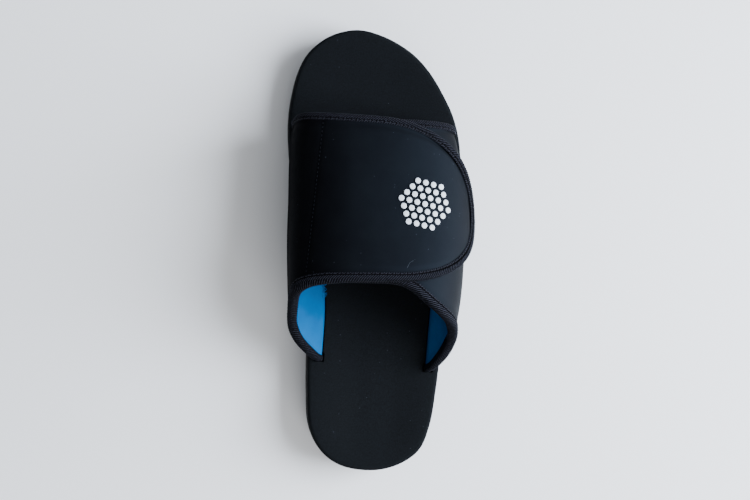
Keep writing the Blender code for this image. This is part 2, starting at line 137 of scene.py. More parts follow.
bpy.ops.object.camera_add(location=(*CAMERA_PLACE, CAMERA_HEIGHT))
camera = bpy.context.object
camera.data.lens = CAMERA_LENS
camera.data.sensor_width = CAMERA_SENSOR
aim = Vector((0.0, CAMERA_PLACE[1], AIM_HEIGHT)) - camera.location
back = -aim.normalized()
image_up = Vector((0.0, -1.0, 0.0))
image_right = image_up.cross(back)
camera.rotation_euler = Matrix((image_right, image_up, back)).transposed().to_euler()
bpy.context.scene.camera = camera

# ---------------------------------------------------------------- outsole
# The moulded rubber tread with its zigzag grooves. Moulding leaves small rounded edges on the lugs and a
# faintly mottled matt skin.

EDGE_ROUND = 0.00035
EDGE_ANGLE = math.radians(40)
FLAT_ANGLE = math.radians(0.5)
MERGE_WITHIN = 0.00001
NOISE_DETAIL = 3.0


def shade(made, angle):
    """Smooth shading, with edges sharper than an angle in degrees kept crisp."""
    object_mode_only(made)
    bpy.ops.object.shade_smooth_by_angle(angle=math.radians(angle))


def apply_modifier(made, kind, **settings):
    """Gives a piece a modifier and applies it at once."""
    object_mode_only(made)
    modifier = made.modifiers.new(kind.lower(), kind)
    for name, value in settings.items():
        setattr(modifier, name, value)
    bpy.ops.object.modifier_apply(modifier=modifier.name)


def copy_of(node, name):
    """A merged copy of a CAD node, as a new piece that stands for it."""
    object_mode_only(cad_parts[node])
    bpy.ops.object.duplicate()
    made = bpy.context.object
    made.name = name
    for key in list(made.keys()):
        del made[key]
    made.data.materials.clear()
    bpy.ops.object.mode_set(mode="EDIT")
    bpy.ops.mesh.select_all(action="SELECT")
    bpy.ops.mesh.remove_doubles(threshold=MERGE_WITHIN)
    bpy.ops.mesh.dissolve_limited(angle_limit=FLAT_ANGLE)
    bpy.ops.object.mode_set(mode="OBJECT")
    return made


def mottle(tree, place, size, detail=NOISE_DETAIL):
    """Noise whose clouds are about a size in metres."""
    inputs = {"Vector": place, "Scale": 1 / size, "Detail": detail}
    return add(tree, "ShaderNodeTexNoise", inputs).outputs["Fac"]


def relief(tree, height, strength, depth, below=None):
    """Bump from a height, on top of the bump below if there is one."""
    inputs = {"Strength": strength, "Distance": depth, "Height": height}
    if below is not None:
        inputs["Normal"] = below
    return add(tree, "ShaderNodeBump", inputs).outputs["Normal"]


def grain(tree, shader, sizes, depth):
    """Bump from noise of several sizes in metres. Gives back the first noise and the place it reads."""
    place = add(tree, "ShaderNodeTexCoord").outputs["Object"]
    clouds = [mottle(tree, place, size) for size, _ in sizes]
    normal = None
    for cloud, (_, strength) in zip(clouds, sizes):
        normal = relief(tree, cloud, strength, depth, normal)
    tree.links.new(normal, shader.inputs["Normal"])
    return clouds[0], place


def tint(tree, shader, factor, low, high, start=0.35, end=0.65):
    """Colours a surface between two sRGB colours by a factor."""
    blend = add(tree, "ShaderNodeValToRGB", {"Fac": factor})
    for element, position, colour in zip(blend.color_ramp.elements, (start, end), (low, high)):
        element.position = position
        element.color = (*linear(colour), 1.0)
    tree.links.new(blend.outputs["Color"], shader.inputs["Base Color"])
    return blend.outputs["Color"]


# Matt black rubber: clouds of 4 mm mottle it, and noise of 0.6 mm is its moulded pebble
rubber, tree, shader = surface("moulded_rubber", "0c0d0f", 0.55, 1.25)
cloud, _ = grain(tree, shader, ((0.0040, 0.25), (0.0006, 0.35)), 0.00008)
tint(tree, shader, cloud, "0a0b0c", "101114")

outsole = copy_of("outsole", "tread_layer")
apply_modifier(outsole, "BEVEL", width=EDGE_ROUND, segments=2, limit_method="ANGLE", angle_limit=EDGE_ANGLE)
outsole.data.materials.append(rubber)
shade(outsole, 35)
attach(outsole, "root")
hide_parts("outsole")

# ---------------------------------------------------------------- midsole
# A wedge of closed-cell foam, moulded with a slightly swollen side. The skin of the foam is matt, with
# a fine pebble.

LENGTH = 0.285
BALL_WIDTH = 0.112
HEEL_REACH = 0.047
HEEL_HEIGHT = 0.029
BALL_HEIGHT = 0.022
TOE_SPRING = 0.009
TOE_TOP_RISE = 0.0065
HEEL_ROLL = 0.002
ARCH_LIFT = 0.0014
OUTSOLE_THICK = 0.0045
FOOTBED_THICK = 0.0055
MIDSOLE_CROWN = 0.0007
MIDSOLE_EDGE = 0.0006
MIDSOLE_STEPS = 8
GAP = 0.0003

# Where the heel's roll ends, where the toe's rise starts and how far it runs, where the arch's lift starts
# and ends, and where the footbed falls from heel to ball, all as shares of the length
HEEL_ROLL_END = 0.07
TOE_START = 0.77
TOE_RUN = 0.23
ARCH_START = (0.33, 0.43)
ARCH_END = (0.47, 0.57)
FOOTBED_FALL = (0.28, 0.64)

# The sole's outline: along, then the medial and the lateral half width
SOLE_OUTLINE = (
    (0.012, 0.203, 0.130),
    (0.045, 0.318, 0.254),
    (0.100, 0.386, 0.316),
    (0.180, 0.399, 0.353),
    (0.290, 0.398, 0.388),
    (0.400, 0.411, 0.424),
    (0.520, 0.440, 0.463),
    (0.630, 0.475, 0.494),
    (0.730, 0.500, 0.503),
    (0.800, 0.501, 0.468),
    (0.860, 0.478, 0.397),
    (0.910, 0.441, 0.315),
    (0.950, 0.383, 0.214),
    (0.985, 0.266, 0.057),
)
HEEL_TIP_SHARES = (0.0, 0.017)
TOE_TIP_SHARES = (1.0, 0.106)
SOLE_MIDDLE = (0.0, -0.100)
RIM_COUNT = 320
RIM_STEPS = 24
MOST_CUTS = 100
SEAM_MERGE = 0.000002


def smooth(share):
    """Goes from 0 to 1 with a soft start and end."""
    share = min(max(share, 0.0), 1.0)
    return share * share * (3 - 2 * share)


def ramp(value, start, end):
    """Goes softly from 0 to 1 while a value goes from start to end."""
    return smooth((value - start) / (end - start))


def through(rows, at, column):
    """The value of a column on a smooth curve through a table's rows, whose first column rises."""
    at = min(max(at, rows[0][0]), rows[-1][0])
    last = len(rows) - 2
    i = next((k for k in range(last + 1) if at <= rows[k + 1][0]), last)

    def slope(k):
        low, high = max(k - 1, 0), min(k + 1, last + 1)
        return (rows[high][column] - rows[low][column]) / (rows[high][0] - rows[low][0])

    step = rows[i + 1][0] - rows[i][0]
    t = (at - rows[i][0]) / step
    start, end = rows[i][column], rows[i + 1][column]
    return (
        start * (1 + 2 * t) * (1 - t) ** 2
        + end * t * t * (3 - 2 * t)
        + step * (slope(i) * t * (1 - t) ** 2 - slope(i + 1) * t * t * (1 - t))
    )


def place_along(along):
    """The Y of a place that lies a share of the length from the heel."""
    return HEEL_REACH - along * LENGTH


def share_along(y):
    """The share of the length from the heel at which a Y lies."""
    return (HEEL_REACH - y) / LENGTH


def ground(along):
    """How high the tread's underside lies over the floor."""
    heel = HEEL_ROLL * max(0.0, 1 - along / HEEL_ROLL_END) ** 2
    toe = TOE_SPRING * max(0.0, (along - TOE_START) / TOE_RUN) ** 2
    return heel + toe + ARCH_LIFT * ramp(along, *ARCH_START) * (1 - ramp(along, *ARCH_END))


def footbed_level(along):
    """How high the footbed's rim lies over the floor."""
    fall = ramp(along, *FOOTBED_FALL)
    toe = TOE_TOP_RISE * max(0.0, (along - TOE_START) / TOE_RUN) ** 2
    return HEEL_HEIGHT + (BALL_HEIGHT - HEEL_HEIGHT) * fall + toe


def half_width(side, along):
    """How far the sole reaches to its medial (1) or its lateral (-1) side."""
    return BALL_WIDTH * through(SOLE_OUTLINE, along, 1 if side > 0 else 2)


def outline_curve(points, share):
    """A closed curve through points, with each stretch's pace set by the root of its length."""
    count = len(points)
    i = int(share) % count
    p = [Vector(points[(i + k) % count]) for k in (-1, 0, 1, 2)]
    knots = [0.0]
    for a, b in zip(p, p[1:]):
        knots.append(knots[-1] + (b - a).length ** 0.5)
    t = knots[1] + (share - int(share)) * (knots[2] - knots[1])

    def mix(a, b, low, high):
        return (a * (high - t) + b * (t - low)) / (high - low)

    first = [mix(p[k], p[k + 1], knots[k], knots[k + 1]) for k in range(3)]
    second = [mix(first[k], first[k + 1], knots[k], knots[k + 2]) for k in range(2)]
    return mix(second[0], second[1], knots[1], knots[2])


def evenly(path, count):
    """Points evenly spaced along a path of points, its first and last included."""
    travelled = [0.0]
    for a, b in zip(path, path[1:]):
        travelled.append(travelled[-1] + (b - a).length)
    found = []
    k = 0
    for j in range(count + 1):
        target = travelled[-1] * j / count
        while k < len(path) - 2 and travelled[k + 1] < target:
            k += 1
        t = (target - travelled[k]) / (travelled[k + 1] - travelled[k])
        found.append(path[k].lerp(path[k + 1], t))
    return found


def sole_rim(count):
    """Points evenly round the sole, clockwise from the heel's tip seen from above, with outward normals."""
    corners = [Vector((HEEL_TIP_SHARES[1] * BALL_WIDTH, place_along(HEEL_TIP_SHARES[0])))]
    corners += [Vector((medial * BALL_WIDTH, place_along(along))) for along, medial, _ in SOLE_OUTLINE]
    corners.append(Vector((TOE_TIP_SHARES[1] * BALL_WIDTH, place_along(TOE_TIP_SHARES[0]))))
    corners += [
        Vector((-lateral * BALL_WIDTH, place_along(along))) for along, _, lateral in SOLE_OUTLINE[::-1]
    ]
    walk = [outline_curve(corners, k / RIM_STEPS) for k in range(RIM_STEPS * len(corners))]
    points = evenly([*walk, walk[0]], count)[:-1]
    found = []
    for i, point in enumerate(points):
        ahead = points[(i + 1) % count] - points[i - 1]
        found.append((point, Vector((-ahead.y, ahead.x)).normalized()))
    return found


def sheet_block(name, counts):
    """A unit block cut evenly along X, Y and Z, to be bent into a layer, a strap or a tape. One call makes
    no more than MOST_CUTS parts, so a longer row is cut in turns."""
    bpy.ops.object.select_all(action="DESELECT")
    bpy.ops.mesh.primitive_cube_add(size=1, location=(0.5, 0.5, 0.5))
    made = bpy.context.object
    made.name = name
    bpy.ops.object.transform_apply(location=True, rotation=False, scale=False)
    bpy.ops.object.mode_set(mode="EDIT")
    bpy.ops.mesh.select_mode(type="EDGE")
    for axis, count in enumerate(counts):
        while count > 1:
            parts = max(n for n in range(1, MOST_CUTS + 1) if count % n == 0)
            count //= parts
            bpy.ops.mesh.select_all(action="DESELECT")
            mesh = bmesh.from_edit_mesh(made.data)
            for edge in mesh.edges:
                run = edge.verts[1].co - edge.verts[0].co
                edge.select_set(abs(run[axis]) > 0.9 * run.length)
            bmesh.update_edit_mesh(made.data)
            bpy.ops.mesh.subdivide(number_cuts=parts - 1)
    bpy.ops.object.mode_set(mode="OBJECT")
    return made


def bend(made, shape, unwrap=None):
    """Moves each point of a block from its place in the unit cube to its place in the shoe. unwrap, if there
    is one, gives its place on the flat cloth."""
    object_mode_only(made)
    bpy.ops.object.mode_set(mode="EDIT")
    mesh = bmesh.from_edit_mesh(made.data)
    flat = {vert.index: vert.co.copy() for vert in mesh.verts}
    if unwrap:
        layer = mesh.loops.layers.uv.verify()
        for face in mesh.faces:
            for loop in face.loops:
                loop[layer].uv = unwrap(*flat[loop.vert.index])
    for vert in mesh.verts:
        vert.co = shape(*flat[vert.index])
    bmesh.update_edit_mesh(made.data)
    bpy.ops.mesh.select_all(action="SELECT")
    bpy.ops.mesh.remove_doubles(threshold=SEAM_MERGE)
    bpy.ops.mesh.normals_make_consistent(inside=False)
    bpy.ops.object.mode_set(mode="OBJECT")


rim = sole_rim(RIM_COUNT)


def rim_place(across, along):
    """Turns a place on a square sheet into how far out and where round the sole it lies."""
    u, v = 2 * across - 1, 2 * along - 1
    out = max(abs(u), abs(v))
    if out < 1e-9:
        return 0.0, 0.0
    if abs(v) >= abs(u):
        turn = 0.125 * (u / -v) if v < 0 else 0.5 - 0.125 * (u / v)
    else:
        turn = (0.25 if u > 0 else 0.75) + 0.125 * (v / u)
    return out, turn % 1.0


def sole_point(across, along, inset):
    """A point of the sole's plan: the sheet's rim lies on the outline, moved in by an inset."""
    out, turn = rim_place(across, along)
    exact = turn * RIM_COUNT
    i = int(exact) % RIM_COUNT
    t = exact - int(exact)
    a, b = rim[i], rim[(i + 1) % RIM_COUNT]
    edge = a[0].lerp(b[0], t) - a[1].lerp(b[1], t) * inset
    middle = Vector(SOLE_MIDDLE)
    return middle + (edge - middle) * out


# Black closed-cell foam: clouds of 3 mm mottle it, and noise of 0.9 mm is the pebble of its skin
foam, tree, shader = surface("closed_cell_foam", "0f1012", 0.7, 1.2)
cloud, _ = grain(tree, shader, ((0.0030, 0.2), (0.0009, 0.5)), 0.00010)
tint(tree, shader, cloud, "0c0d0f", "121316")


def midsole_shape(across, along, up):
    """The wedge: its side swells between two parting edges."""
    inset = MIDSOLE_CROWN * (2 * up - 1) ** 2 + MIDSOLE_EDGE * (abs(2 * up - 1) > 0.99)
    plan = sole_point(across, along, inset)
    share = share_along(plan.y)
    low = ground(share) + OUTSOLE_THICK + 0.5 * GAP
    high = footbed_level(share) - FOOTBED_THICK - 0.5 * GAP
    return Vector((plan.x, plan.y, low + (high - low) * up))


midsole = sheet_block("foam_wedge", (48, 80, MIDSOLE_STEPS))
bend(midsole, midsole_shape)
midsole.data.materials.append(foam)
shade(midsole, 50)
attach(midsole, "root")
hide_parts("midsole")

# ---------------------------------------------------------------- footbed
# The foam layer under the foot, die cut with a long slot near each side for the straps. Its top is
# pressed to a shallow dish with a dead matt, finely grained skin.

FOOTBED_EDGE = 0.0024
FOOTBED_SETBACK = 0.0006
DISH_HEEL = 0.0021
DISH_BALL = 0.0009
EDGE_STEPS = 8
# Where the dish fades out at heel, toe and sides, and where its depth changes from the heel's to the ball's
DISH_HEEL_FADE = (0.0, 0.10)
DISH_TOE_FADE = (0.86, 0.99)
DISH_SIDE_FADE = (0.20, 0.92)
DISH_CHANGE = (0.25, 0.60)
STRAP_WALL = 0.0030
BINDING_WIDTH = 0.0040
BINDING_THICK = 0.0006
BINDING_GAP = 0.0004
BINDING_NOSE = 0.0012

# The slots: along, then how far inside the medial and the lateral edge of the sole they lie
SLOT_INSETS = (
    (0.220, 0.062, 0.068),
    (0.300, 0.082, 0.077),
    (0.390, 0.103, 0.084),
    (0.580, 0.118, 0.097),
    (0.700, 0.118, 0.080),
    (0.800, 0.114, 0.047),
)
# Each slot's side, and the strap's front and rear edge in it
SLOTS = (("medial_slot", 1, 0.778, 0.2545), ("lateral_slot", -1, 0.768, 0.229))
SLOT_EASE = 0.0009
SLOT_STEPS = 29
CUTTER_FOOT = 0.012
CUTTER_TALL = 0.030
SPECK_RADIUS = 0.00028


def slot_place(side, along):
    """How far a slot's middle lies to the side."""
    column = 1 if side > 0 else 2
    return side * (half_width(side, along) - BALL_WIDTH * through(SLOT_INSETS, along, column))


def footbed_shape(across, along, up):
    """The footbed: a flat underside, a rounded rim and a dished top."""
    turned = max(0.0, (up * EDGE_STEPS - 1) / (EDGE_STEPS - 1)) * 0.5 * math.pi
    inset = FOOTBED_SETBACK + FOOTBED_EDGE * (1 - math.cos(turned))
    plan = sole_point(across, along, inset)
    share = share_along(plan.y)
    level = footbed_level(share)
    if up < 0.5 / EDGE_STEPS:
        return Vector((plan.x, plan.y, level - FOOTBED_THICK))
    drop = FOOTBED_EDGE * (1 - math.sin(turned))
    if up > 1 - 0.5 / EDGE_STEPS:
        reach = abs(plan.x) / half_width(1 if plan.x > 0 else -1, share)
        ends = ramp(share, *DISH_HEEL_FADE) * (1 - ramp(share, *DISH_TOE_FADE))
        depth = DISH_HEEL + (DISH_BALL - DISH_HEEL) * ramp(share, *DISH_CHANGE)
        drop = depth * ends * (1 - ramp(reach, *DISH_SIDE_FADE))
    return Vector((plan.x, plan.y, level - drop))


def reckon(tree, operation, first, second=0.5):
    """One step of arithmetic on two values, or on the first alone."""
    return add(tree, "ShaderNodeMath", {0: first, 1: second}, operation=operation).outputs["Value"]


def dust(tree, place, base, shader, cell, share, colour):
    """Strews a surface with rare tiny specks. cell is their spacing in metres, and share how many show."""
    cells = add(tree, "ShaderNodeTexVoronoi", {"Vector": place, "Scale": 1 / cell})
    near = reckon(tree, "LESS_THAN", cells.outputs["Distance"], SPECK_RADIUS / cell)
    chosen = add(tree, "ShaderNodeSeparateColor", {"Color": cells.outputs["Color"]})
    speck = reckon(tree, "MULTIPLY", near, reckon(tree, "LESS_THAN", chosen.outputs["Red"], share))
    # Inputs 6 and 7 of this node are its two colours, and output 2 is their mix
    mixed = add(tree, "ShaderNodeMix", {0: speck, 6: base, 7: (*linear(colour), 1.0)}, data_type="RGBA")
    tree.links.new(mixed.outputs[2], shader.inputs["Base Color"])


# Black EVA foam, sliced and pressed: noise of 6, 1 and 0.4 mm is the grain of its skin, noise of 0.7 mm its
# flecks, and a little dust lies on it
eva, tree, shader = surface("die_cut_eva_foam", "0c0e10", 0.85, 1.15)
_, place = grain(tree, shader, ((0.0060, 0.05), (0.0010, 0.35), (0.0004, 0.30)), 0.00010)
base = tint(tree, shader, mottle(tree, place, 0.0007, 1.0), "0a0c0e", "101316", 0.3, 0.7)
dust(tree, place, base, shader, 0.0045, 0.45, "2a2e34")

footbed = sheet_block("foam_footbed", (72, 112, EDGE_STEPS))
bend(footbed, footbed_shape)
for name, side, front_edge, rear_edge in SLOTS:
    front = place_along(front_edge) - BINDING_NOSE - GAP
    rear = place_along(rear_edge) + BINDING_NOSE + GAP
    pocket = BINDING_WIDTH + BINDING_NOSE + 2 * GAP
    narrow = 0.5 * STRAP_WALL + SLOT_EASE
    wide = narrow + BINDING_GAP + BINDING_THICK
    stations = [(front, wide), (front + pocket, wide), (front + pocket, narrow)]
    for k in range(1, SLOT_STEPS):
        stations.append((front + pocket + (rear - front - 2 * pocket) * k / SLOT_STEPS, narrow))
    stations += [(rear - pocket, narrow), (rear - pocket, wide), (rear, wide)]

    def cutter_shape(across, along, up):
        """A slot's cutter: thin along the strap's wall, with a wider pocket at each end for the tape."""
        y, half = stations[round(along * (len(stations) - 1))]
        middle = Vector((slot_place(side, share_along(y)), y))
        ahead = Vector((slot_place(side, share_along(y + GAP)), y + GAP)) - middle
        wall = middle + Vector((ahead.y, -ahead.x)).normalized() * half * (2 * across - 1)
        return Vector((wall.x, wall.y, CUTTER_FOOT + CUTTER_TALL * up))

    cutter = sheet_block(name, (1, len(stations) - 1, 1))
    bend(cutter, cutter_shape)
    apply_modifier(footbed, "BOOLEAN", operation="DIFFERENCE", object=cutter, solver="EXACT")
    bpy.data.objects.remove(cutter, do_unlink=True)
footbed.data.materials.append(eva)
shade(footbed, 40)
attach(footbed, "root")
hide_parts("footbed")

# ---------------------------------------------------------------- lateral band
# The band that comes up on the outer side: smooth black knit laminated to soft foam, with a bright blue
# knit lining on the foot's side. The other strap is pressed on top of it.

STRAP_RISE_FRONT = 0.0425
STRAP_RISE_REAR = 0.0580
STRAP_UPRIGHT = 0.0012
FLARE = 1.3
FASTENER_THICK = 0.0023
FLAP_END_LIFT = 0.0012

# The straps' sections: along, then how far the medial and the lateral side swell out, the heights of their
# widest places and of the crown as shares of the straps' rise, and how far the crown sits to the medial side
STRAP_SECTIONS = (
    (0.220, 0.370, 0.355, 0.36, 0.33, 1.00, 0.120),
    (0.265, 0.430, 0.396, 0.36, 0.33, 1.00, 0.120),
    (0.302, 0.470, 0.416, 0.36, 0.33, 1.00, 0.120),
    (0.340, 0.486, 0.433, 0.36, 0.33, 1.00, 0.120),
    (0.390, 0.494, 0.456, 0.35, 0.33, 1.00, 0.120),
    (0.450, 0.497, 0.471, 0.35, 0.33, 1.00, 0.120),
    (0.520, 0.496, 0.480, 0.36, 0.34, 1.00, 0.118),
    (0.600, 0.489, 0.476, 0.38, 0.36, 1.01, 0.112),
    (0.700, 0.483, 0.458, 0.40, 0.38, 1.01, 0.108),
    (0.760, 0.470, 0.430, 0.42, 0.40, 1.01, 0.105),
    (0.810, 0.445, 0.405, 0.43, 0.42, 1.00, 0.100),
)
SLOT_END_SHARE = 0.04
WIDEST_SHARE = 0.17
CROWN_SHARE = 0.5
RISE_SPAN = (0.43, 0.79)
CLIMB_PACE = (0.48, 0.62)
AROUND_LENGTH = 0.240
MEDIAL_SQUARE_POWER = 2.35
LATERAL_SQUARE_POWER = 2.1

# The band's edges: around, then its front and its rear edge as places along the shoe
BAND_EDGES = (
    (0.30, 0.779, 0.438),
    (0.54, 0.779, 0.436),
    (0.58, 0.779, 0.430),
    (0.605, 0.779, 0.418),
    (0.63, 0.779, 0.400),
    (0.66, 0.778, 0.381),
    (0.70, 0.777, 0.361),
    (0.75, 0.774, 0.340),
    (0.83, 0.768, 0.299),
    (0.88, 0.768, 0.264),
    (0.93, 0.768, 0.238),
    (0.96, 0.768, 0.229),
)


def last_point(around, along):
    """A point of the straps' middle surface where it lies on the foot."""
    side = 1 if around < CROWN_SHARE else -1
    share = around if side > 0 else 1 - around
    section = [through(STRAP_SECTIONS, along, k) for k in range(1, 7)]
    rear, front = RISE_SPAN
    rise = STRAP_RISE_REAR + (STRAP_RISE_FRONT - STRAP_RISE_REAR) * (along - rear) / (front - rear)
    level = footbed_level(along)
    slot = slot_place(side, along)
    widest = side * BALL_WIDTH * section[0 if side > 0 else 1]
    widest_height = level + rise * section[2 if side > 0 else 3]
    if share <= SLOT_END_SHARE:
        x = slot
        foot = level - FOOTBED_THICK + GAP
        z = foot + (level + STRAP_UPRIGHT - foot) * share / SLOT_END_SHARE
    elif share <= WIDEST_SHARE:
        t = (share - SLOT_END_SHARE) / (WIDEST_SHARE - SLOT_END_SHARE)
        start = level + STRAP_UPRIGHT
        climb = widest_height - start
        lean = t * t * (3 - 2 * t) + FLARE * t * (1 - t) ** 2
        x = slot + (widest - slot) * lean
        slow, fast = CLIMB_PACE
        z = start + climb * (3 * (1 - t) ** 2 * t * slow + 3 * (1 - t) * t * t * fast + t**3)
    else:
        turned = 0.5 * math.pi * (share - WIDEST_SHARE) / (CROWN_SHARE - WIDEST_SHARE)
        power = 2 / (MEDIAL_SQUARE_POWER if side > 0 else LATERAL_SQUARE_POWER)
        crown = BALL_WIDTH * section[5]
        x = crown + (widest - crown) * max(math.cos(turned), 0.0) ** power
        z = widest_height + (level + rise * section[4] - widest_height) * math.sin(turned) ** power
    return Vector((x, place_along(along), z))


def paces(form, around, along):
    """How far a surface's point moves as each of its two places grows."""
    step = 0.0005
    across = form(around + step, along) - form(around - step, along)
    ahead = form(around, along + step) - form(around, along - step)
    return across / (2 * step), ahead / (2 * step)


def facing(form, around, along):
    """The outward normal of a surface over the foot."""
    across, ahead = paces(form, around, along)
    return across.cross(ahead).normalized()


class Strap:
    """One strap: where it starts, where its end begins to turn, its tip, its edges and its surface."""

    def __init__(self, edges, form, root, turn, tip, tip_along, rounds):
        self.edges, self.form = edges, form
        self.root, self.turn, self.tip = root, turn, tip
        self.tip_along, self.rounds = tip_along, rounds

    def edge(self, around, which):
        """Where the front (0) or the rear (1) edge lies at this place around the foot."""
        clear = min(max(around, SLOT_END_SHARE), 1 - SLOT_END_SHARE)
        plain = through(self.edges, clear, 1 + which)
        past = (around - self.turn) / (self.tip - self.turn)
        if past <= 0.0:
            return plain
        n = self.rounds[which]
        return self.tip_along + (plain - self.tip_along) * (1 - min(past, 1.0) ** n) ** (1 / n)

    def column(self, share):
        """A place around the foot, from the strap's root to its tip."""
        body = 0.80
        if share < body:
            return self.root + (self.turn - self.root) * share / body
        return self.turn + (self.tip - self.turn) * math.sin(0.5 * math.pi * (share - body) / (1 - body))

    def place(self, share, across):
        """Around and along, for a share of the strap's length and of its width from the front."""
        around = self.column(share)
        front, rear = self.edge(around, 0), self.edge(around, 1)
        return around, front + (rear - front) * across

    def rim_distance(self, around, along):
        """Roughly how far a place lies inside the strap's edge, in metres."""
        front, rear = self.edge(around, 0), self.edge(around, 1)
        inside = min(front - along, along - rear) * LENGTH
        to_tip = abs(self.tip - around) * AROUND_LENGTH
        return max(0.0, min(inside, to_tip))


BAND = Strap(BAND_EDGES, last_point, 1.0, 0.43, 0.385, 0.600, (3.2, 3.2))

# The knit's loops are 0.55 by 0.45 mm, and a wave texture of scale 1 has a band every 0.314 m
KNIT_PITCHES = (("X", 0.00055), ("Y", 0.00045))
WAVE_PITCH = 0.314
KNIT_CLOUD = 0.012


def knit_material(name, low, high, roughness, gloss, sheen, sheen_tint):
    """Fine jersey over foam: rows of tiny loops, drawn at their real size, on softly uneven padding."""
    made, tree, shader = surface(name, low, roughness, gloss)
    shader.inputs["Sheen Weight"].default_value = sheen
    shader.inputs["Sheen Roughness"].default_value = 0.5
    shader.inputs["Sheen Tint"].default_value = (*linear(sheen_tint), 1.0)
    flat = add(tree, "ShaderNodeUVMap").outputs["UV"]
    loops = []
    for way, pitch in KNIT_PITCHES:
        inputs = {"Vector": flat, "Scale": WAVE_PITCH / pitch, "Distortion": 1.0}
        loops.append(add(tree, "ShaderNodeTexWave", inputs, bands_direction=way).outputs["Fac"])
    place = add(tree, "ShaderNodeTexCoord").outputs["Object"]
    cloud = mottle(tree, place, KNIT_CLOUD, 4.0)
    soft = relief(tree, cloud, 0.15, 0.0004)
    bump = relief(tree, reckon(tree, "MULTIPLY", *loops), 0.3, 0.00006, soft)
    tree.links.new(bump, shader.inputs["Normal"])
    base = tint(tree, shader, cloud, low, high, 0.3, 0.7)
    return made, tree, shader, place, base


# Black polyester jersey laminated to the foam, with a cool soft shine and a little dust. Its shine is turned
# down towards its inner side and low down near the sole, painted shade that dims its reflections there.
knit, tree, shader, place, base = knit_material(
    "laminated_black_jersey", "08080a", "0a0b0d", 0.55, 1.16, 0.003, "8fb4e0"
)
shader.inputs["Specular Tint"].default_value = (*linear("a9cdf2"), 1.0)
spot = add(tree, "ShaderNodeSeparateXYZ", {"Vector": place})
# Painted shade: the shine fades towards the inner side and low down near the sole
inner_painted_shade = fade(tree, spot.outputs["X"], (0.018, 0.044), (0.5, 0.04))
low_painted_shade = fade(tree, spot.outputs["Z"], (0.038, 0.062), (0.06, 1.0))
tree.links.new(reckon(tree, "MULTIPLY", inner_painted_shade, low_painted_shade), shader.inputs["Specular IOR Level"])
dust(tree, place, base, shader, 0.0042, 0.28, "2c3037")

# The same jersey dyed bright blue, without shine, laminated to the foot's side
lining, *_ = knit_material("blue_knit_lining", "004f83", "00588e", 0.8, 1.1, 0.0, "ffffff")

# How far up the strap its relief begins, the padding's swelling and how often it comes along each axis, and
# how deep and how widely the stitches at the hem and along the seam pull the padding in
RELIEF_START = (0.05, 0.14)
SWELL = 0.0010
SWELL_RATES = (26, 16, 26)
HEM_SINK = 0.00045
HEM_SINK_INSIDE = 0.0046
HEM_SINK_REACH = 0.0018
SEAM_SINK = 0.00030
SEAM_SINK_REACH = 0.0012


def bell(distance, reach):
    """1 at no distance, and almost 0 at twice the reach."""
    return math.exp(-((distance / reach) ** 2))


def strap_piece(name, strap, counts, seam=None):
    """A padded strap bent over the foot, with its lining on the foot's side. seam, if there is one, gives
    how far a point of the surface lies from a row of stitches that pulls the padding in."""
    known = {}

    def spot(length, width):
        """Around, along, point, normal and relief of a place on the strap, worked out once."""
        key = (round(length, 5), round(width, 5))
        if key not in known:
            around, along = strap.place(length, 0.5 - 0.5 * math.cos(math.pi * width))
            point = strap.form(around, along)
            free = ramp(abs(around - strap.root), *RELIEF_START)
            inside = strap.rim_distance(around, along)
            sink = HEM_SINK * bell(inside - HEM_SINK_INSIDE, HEM_SINK_REACH)
            if seam:
                sink += SEAM_SINK * bell(seam(point), SEAM_SINK_REACH)
            swell = SWELL * noise.noise(Vector([part * rate for part, rate in zip(point, SWELL_RATES)]))
            known[key] = (around, along, point, facing(strap.form, around, along), free * (swell - sink))
        return known[key]

    def shape(length, width, depth):
        _, _, point, normal, rise = spot(length, width)
        return point + normal * ((depth - 0.5) * STRAP_WALL + (rise if depth > 0.5 else 0.0))

    def unwrap(length, width, depth):
        around, along, *_ = spot(length, width)
        return (around * AROUND_LENGTH, along * LENGTH)

    made = sheet_block(name, counts)
    object_mode_only(made)
    bpy.ops.object.mode_set(mode="EDIT")
    mesh = bmesh.from_edit_mesh(made.data)
    for face in mesh.faces:
        face.material_index = 1 if face.calc_center_median().z < 0.01 else 0
    bmesh.update_edit_mesh(made.data)
    bpy.ops.object.mode_set(mode="OBJECT")
    made.data.materials.append(knit)
    made.data.materials.append(lining)
    bend(made, shape, unwrap)
    shade(made, 50)
    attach(made, "root")
    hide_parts("upper")


strap_piece("lateral_band", BAND, (110, 64, 2))

# ---------------------------------------------------------------- medial strap and flap
# The strap that comes up on the inner side. Its wide rounded flap is cut from the same laminate, closes
# over the band, and its loose end stands off a little.

FLAP_EDGES = (
    (0.04, 0.778, 0.2545),
    (0.07, 0.779, 0.262),
    (0.12, 0.781, 0.292),
    (0.17, 0.783, 0.338),
    (0.25, 0.787, 0.396),
    (0.35, 0.789, 0.428),
    (0.50, 0.783, 0.435),
    (0.60, 0.775, 0.432),
    (0.80, 0.766, 0.430),
)
FLAP_TURN = 0.55
FLAP_TIP = 0.788
FLAP_CLIMB = (0.20, 0.345)


def flap_point(around, along):
    """A point of the flap's middle surface, which climbs onto the band and lifts at its end."""
    lift = (STRAP_WALL + FASTENER_THICK) * ramp(around, *FLAP_CLIMB)
    lift += FLAP_END_LIFT * ramp(around, FLAP_TURN, FLAP_TIP)
    return last_point(around, along) + facing(last_point, around, along) * lift


FLAP = Strap(FLAP_EDGES, flap_point, 0.0, FLAP_TURN, FLAP_TIP, 0.583, (1.86, 2.2))
# A row of stitches crosses the flap near its inner side, where its panel is joined: its two ends in plan
SEAM_FRONT = (0.0350, -0.1745)
SEAM_REAR = (0.0456, -0.0815)


def from_seam(point):
    """How far a point lies to the side of the row, seen from above."""
    run = Vector(SEAM_REAR) - Vector(SEAM_FRONT)
    off = Vector((point.x, point.y)) - Vector(SEAM_FRONT)
    return off.x * run.y / run.length - off.y * run.x / run.length


